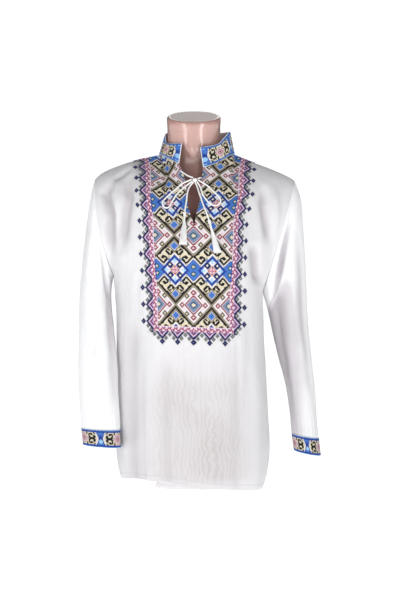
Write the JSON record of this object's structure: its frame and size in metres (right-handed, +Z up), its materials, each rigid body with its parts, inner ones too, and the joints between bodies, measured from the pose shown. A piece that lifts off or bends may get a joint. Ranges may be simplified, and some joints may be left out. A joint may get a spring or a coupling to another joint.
{
  "type": "embroidered folk shirt on a torso form",
  "caption": "Long-sleeved linen folk shirt with an embroidered stand collar, chest and cuffs and a tasselled neck tie, worn by a limbless torso form.",
  "frame": {"origin": "centre of the flat foot of the torso form", "axes": "+Z up, the front of the shirt faces -Y, the wearer's left side is +X"},
  "size_m": [0.5468, 0.2838, 0.861],
  "materials": {
    "linen": "fine plain weave, matt",
    "embroidered_linen": "cross-stitch in blue, black, cream and red thread",
    "cord": "twisted cotton, matt",
    "form": "glossy, smooth"
  },
  "bodies": {
    "root": {"torso_form": "form", "front": "linen", "back": "linen", "collar": "embroidered_linen", "sleeve_right": "linen", "cuff_right": "embroidered_linen", "sleeve_left": "linen", "cuff_left": "embroidered_linen", "tie_knot": "cord", "tie_cord_right": "cord", "tie_cord_left": "cord", "tie_loop_right": "cord", "tie_loop_left": "cord", "tie_end_right": "cord", "tie_end_left": "cord", "tassel_right": "cord", "tassel_left": "cord"}
  },
  "joints": []
}
